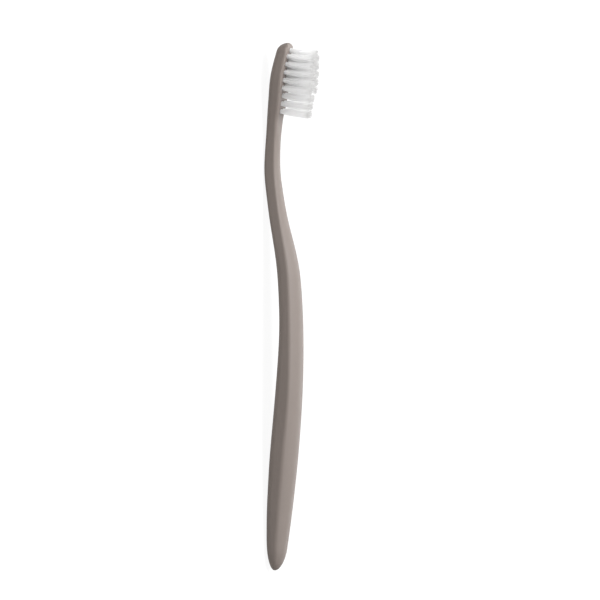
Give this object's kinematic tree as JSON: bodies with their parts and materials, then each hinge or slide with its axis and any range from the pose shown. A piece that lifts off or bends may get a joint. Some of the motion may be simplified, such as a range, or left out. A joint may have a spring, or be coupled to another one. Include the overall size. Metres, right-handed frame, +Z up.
{
  "type": "manual toothbrush",
  "caption": "Manual toothbrush with a one-piece curved handle, a slim neck and a small head of flat-trimmed white bristle tufts.",
  "frame": {"origin": "on the table, under the middle of the brush, which lies on its back", "axes": "+X from the tail to the head, +Y across the handle, +Z up along the bristles"},
  "size_m": [0.1844, 0.013, 0.0197],
  "materials": {
    "handle_plastic": "fine matte moulded surface, warm taupe grey",
    "bristle_nylon": "white nylon filaments, slightly translucent",
    "anchor_metal": "cut metal strip, hidden inside the head"
  },
  "bodies": {
    "root": {"handle": "handle_plastic", "tuft_1_left": "bristle_nylon", "tuft_1_right": "bristle_nylon", "tuft_2_left": "bristle_nylon", "tuft_2_middle": "bristle_nylon", "tuft_2_right": "bristle_nylon", "tuft_3_left": "bristle_nylon", "tuft_3_middle": "bristle_nylon", "tuft_3_right": "bristle_nylon", "tuft_4_left": "bristle_nylon", "tuft_4_middle": "bristle_nylon", "tuft_4_right": "bristle_nylon", "tuft_5_left": "bristle_nylon", "tuft_5_middle": "bristle_nylon", "tuft_5_right": "bristle_nylon", "tuft_6_left": "bristle_nylon", "tuft_6_right": "bristle_nylon", "tuft_7_left": "bristle_nylon", "tuft_7_right": "bristle_nylon", "tuft_8_left": "bristle_nylon", "tuft_8_right": "bristle_nylon", "tuft_anchors": "anchor_metal", "tuft_tip": "bristle_nylon"}
  },
  "joints": []
}
